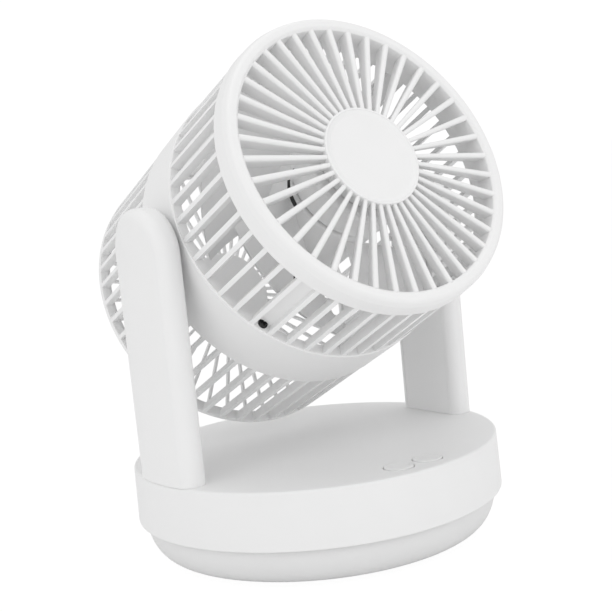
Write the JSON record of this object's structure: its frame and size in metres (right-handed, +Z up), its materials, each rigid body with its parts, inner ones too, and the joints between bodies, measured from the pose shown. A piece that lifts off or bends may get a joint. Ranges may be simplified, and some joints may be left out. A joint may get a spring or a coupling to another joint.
{
  "type": "desk fan",
  "caption": "Small desk fan: a drum-shaped air head with radial front grille tilts between two upright arms on a round turning base with push buttons.",
  "frame": {"origin": "on the axis the base turns about, at the underside of the rubber feet", "axes": "+Z up along the turning axis; -Y towards the front, where the buttons are and the air leaves; +X to the right arm, right as seen from in front"},
  "size_m": [0.1812, 0.1956, 0.2492],
  "materials": {
    "shell_white": "satin",
    "plinth_white": "satin",
    "button_white": "satin",
    "impeller_white": "satin",
    "gear_nylon": "satin",
    "rubber_grey": "matte",
    "screw_steel": "satin",
    "screw_black": "satin",
    "part_black": "satin",
    "motor_black": "satin",
    "lead_black": "matte",
    "board_green": "satin",
    "battery_blue": "satin",
    "motor_grey": "satin"
  },
  "bodies": {
    "plinth": {"plinth_bowl": "plinth_white", "plinth_cover": "plinth_white", "plinth_screw_1": "screw_steel", "plinth_screw_2": "screw_steel", "plinth_screw_3": "screw_steel", "rubber_foot_1": "rubber_grey", "rubber_foot_2": "rubber_grey", "rubber_foot_3": "rubber_grey", "rubber_foot_4": "rubber_grey", "swivel_spindle": "gear_nylon", "thrust_ring": "gear_nylon", "swivel_gear": "gear_nylon", "spindle_screw": "screw_steel"},
    "turntable": {"base_drum": "shell_white", "drum_floor": "plinth_white", "floor_screw_1": "screw_steel", "floor_screw_2": "screw_steel", "floor_screw_3": "screw_steel", "floor_screw_4": "screw_steel", "control_board": "board_green", "power_switch": "part_black", "mode_switch": "part_black", "battery_pack": "battery_blue", "usb_inlet": "screw_steel", "swivel_motor": "motor_grey", "left_arm_shell": "shell_white", "right_arm_shell": "shell_white", "left_arm_cover": "shell_white", "right_arm_cover": "shell_white", "left_pivot_bush": "gear_nylon", "right_pivot_bush": "gear_nylon", "left_arm_screw_1": "screw_steel", "left_arm_screw_2": "screw_steel", "right_arm_screw_1": "screw_steel", "right_arm_screw_2": "screw_steel", "arm_lead": "lead_black"},
    "pinion": {"drive_pinion": "gear_nylon"},
    "power_button": {"power_button": "button_white"},
    "mode_button": {"mode_button": "button_white"},
    "head": {"front_grille": "shell_white", "grille_cap": "shell_white", "front_barrel": "shell_white", "mid_band": "shell_white", "rear_barrel": "shell_white", "rear_grille": "shell_white", "motor_pod": "shell_white", "fan_motor": "motor_black", "motor_lead": "lead_black", "barrel_screw_1": "screw_black", "barrel_screw_2": "screw_black", "barrel_screw_3": "screw_black", "barrel_screw_4": "screw_black", "left_trunnion": "gear_nylon", "right_trunnion": "gear_nylon", "left_friction_nut": "screw_steel", "right_friction_nut": "screw_steel"},
    "impeller": {"impeller": "impeller_white", "motor_shaft": "screw_steel", "hub_nut": "screw_steel"}
  },
  "joints": [
    {"name": "swivel", "type": "hinge", "parent": "plinth", "child": "turntable", "pos_m": [0, 0, 0.02], "axis": [0, 0, 1], "range_deg": [-45, 45]},
    {"name": "pinion_turn", "type": "hinge", "parent": "turntable", "child": "pinion", "pos_m": [0.03, 0, 0.0273], "axis": [0, 0, 1], "range_deg": [-92, 92]},
    {"name": "tilt", "type": "hinge", "parent": "turntable", "child": "head", "pos_m": [0, 0, 0.1524], "axis": [-1, 0, 0], "range_deg": [-46.2, 63.8]},
    {"name": "fan_spin", "type": "hinge", "parent": "head", "child": "impeller", "pos_m": [0, 0, 0.1524], "axis": [0, -0.8973, 0.4415], "continuous": true},
    {"name": "power_press", "type": "slide", "parent": "turntable", "child": "power_button", "axis": [0, 0, -1], "range_m": [0, 0.001], "stiffness_N_per_m": 250, "springref_m": -0.0005},
    {"name": "mode_press", "type": "slide", "parent": "turntable", "child": "mode_button", "axis": [0, 0, -1], "range_m": [0, 0.001], "stiffness_N_per_m": 250, "springref_m": -0.0005}
  ],
  "couplings": [
    {"joint": "pinion_turn", "follows": "swivel", "ratio": 2}
  ]
}
